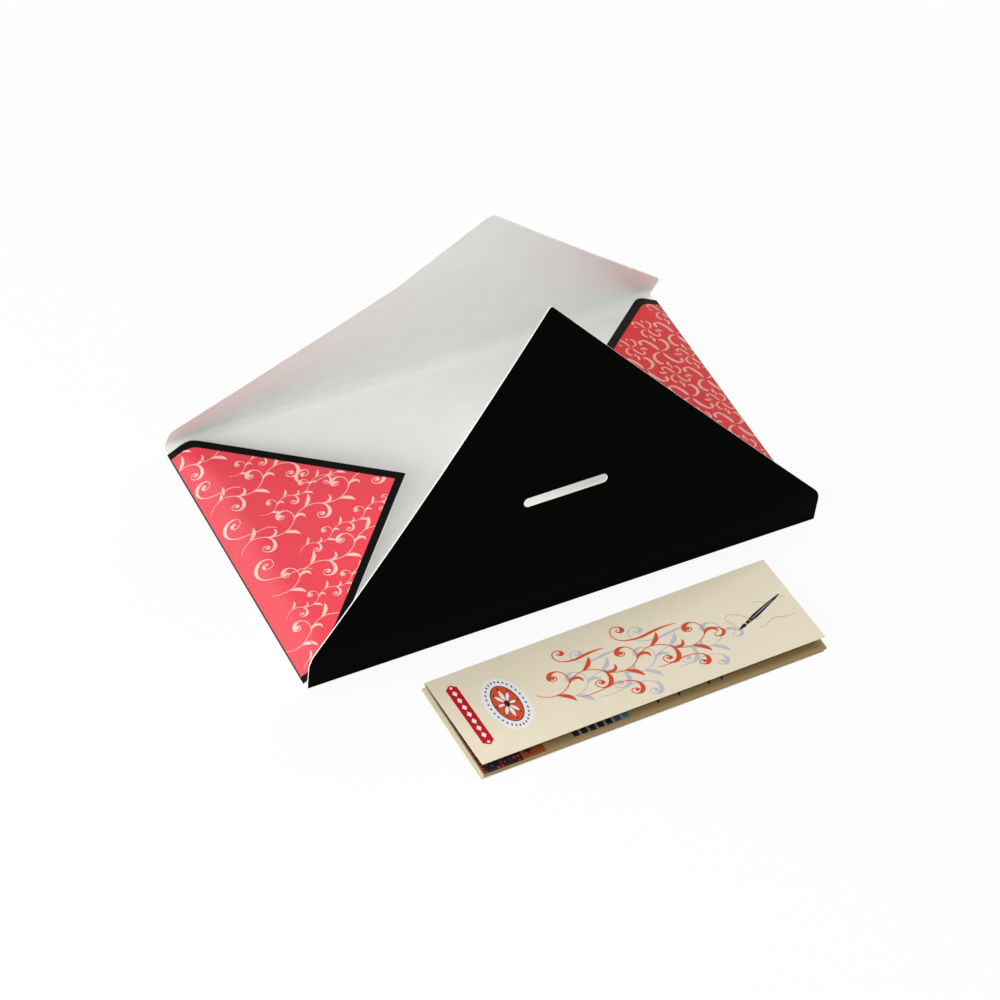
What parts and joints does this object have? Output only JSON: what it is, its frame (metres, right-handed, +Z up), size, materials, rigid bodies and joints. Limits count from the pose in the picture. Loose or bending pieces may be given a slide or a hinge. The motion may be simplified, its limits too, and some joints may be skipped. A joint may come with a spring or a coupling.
{
  "type": "folding card stationery box",
  "caption": "Envelope-style folding card box with creased gussets, pointed flaps, a closing slot and tuck tongue, shown open with a folded leaflet in front.",
  "frame": {"origin": "middle of the underside of the floor panel", "axes": "+X to the right along the front crease, -Y towards the front flap and the leaflet, +Z up"},
  "size_m": [0.3185, 0.316, 0.211],
  "materials": {
    "black_card": "satin",
    "white_card": "satin",
    "red_card": "satin",
    "cream_paper": "matte",
    "blush_ink": "satin",
    "tan_ink": "satin",
    "orange_ink": "matte",
    "slate_ink": "matte",
    "crimson_ink": "matte",
    "dark_ink": "matte"
  },
  "bodies": {
    "floor": {"floor_panel": "black_card"},
    "front_gusset": {"front_gusset": "black_card"},
    "front_flap": {"front_flap": "black_card"},
    "rear_gusset": {"rear_gusset": "white_card"},
    "rear_flap": {"rear_flap": "white_card"},
    "rear_tongue": {"rear_tongue": "white_card"},
    "left_gusset": {"left_gusset": "red_card"},
    "left_flap": {"left_flap": "red_card"},
    "right_gusset": {"right_gusset": "red_card"},
    "right_flap": {"right_flap": "red_card"},
    "leaflet_bottom": {"leaflet_bottom": "cream_paper"},
    "leaflet_third": {"leaflet_third": "cream_paper"},
    "leaflet_second": {"leaflet_second": "cream_paper"},
    "leaflet_cover": {"leaflet_cover": "cream_paper"}
  },
  "joints": [
    {"name": "front_gusset_crease", "type": "hinge", "parent": "floor", "child": "front_gusset", "pos_m": [0, -0.10625, 0.0008], "axis": [1, 0, 0], "range_deg": [-22, 64]},
    {"name": "front_flap_crease", "type": "hinge", "parent": "front_gusset", "child": "front_flap", "pos_m": [0, -0.11072, 0.0254], "axis": [1, 0, 0], "range_deg": [-26, 14]},
    {"name": "rear_gusset_crease", "type": "hinge", "parent": "floor", "child": "rear_gusset", "pos_m": [0, 0.10625, 0.0008], "axis": [1, 0, 0], "range_deg": [-118, 14]},
    {"name": "rear_flap_crease", "type": "hinge", "parent": "rear_gusset", "child": "rear_flap", "pos_m": [0, 0.09432, 0.02277], "axis": [1, 0, 0], "range_deg": [-2, 33]},
    {"name": "tongue_crease", "type": "hinge", "parent": "rear_flap", "child": "rear_tongue", "pos_m": [0, 0.01362, 0.15977], "axis": [1, 0, 0], "range_deg": [-7, 45]},
    {"name": "left_gusset_crease", "type": "hinge", "parent": "floor", "child": "left_gusset", "pos_m": [-0.159, 0, 0.0008], "axis": [0, 1, 0], "range_deg": [-152, 8]},
    {"name": "left_flap_crease", "type": "hinge", "parent": "left_gusset", "child": "left_flap", "pos_m": [-0.14576, 0, 0.00784], "axis": [0, 1, 0], "range_deg": [-16, 6]},
    {"name": "right_gusset_crease", "type": "hinge", "parent": "floor", "child": "right_gusset", "pos_m": [0.159, 0, 0.0008], "axis": [0, 1, 0], "range_deg": [-15, 150]},
    {"name": "right_flap_crease", "type": "hinge", "parent": "right_gusset", "child": "right_flap", "pos_m": [0.14601, 0, 0.0083], "axis": [0, 1, 0], "range_deg": [-12, 3]},
    {"name": "leaflet_lift", "type": "slide", "parent": "floor", "child": "leaflet_bottom", "axis": [0, 0, 1], "range_m": [0, 0.15]},
    {"name": "leaflet_fold_low", "type": "hinge", "parent": "leaflet_bottom", "child": "leaflet_third", "pos_m": [0.00795, -0.13091, 0.00038], "axis": [-0.9996, -0.0297, 0], "range_deg": [-0.5, 90]},
    {"name": "leaflet_fold_front", "type": "hinge", "parent": "leaflet_third", "child": "leaflet_second", "pos_m": [0.01018, -0.20586, 0.00189], "axis": [0.9996, 0.0297, 0], "range_deg": [-1.5, 165]},
    {"name": "leaflet_fold_cover", "type": "hinge", "parent": "leaflet_second", "child": "leaflet_cover", "pos_m": [0.00795, -0.13092, 0.00392], "axis": [-0.9996, -0.0297, 0], "range_deg": [-3, 95]}
  ]
}
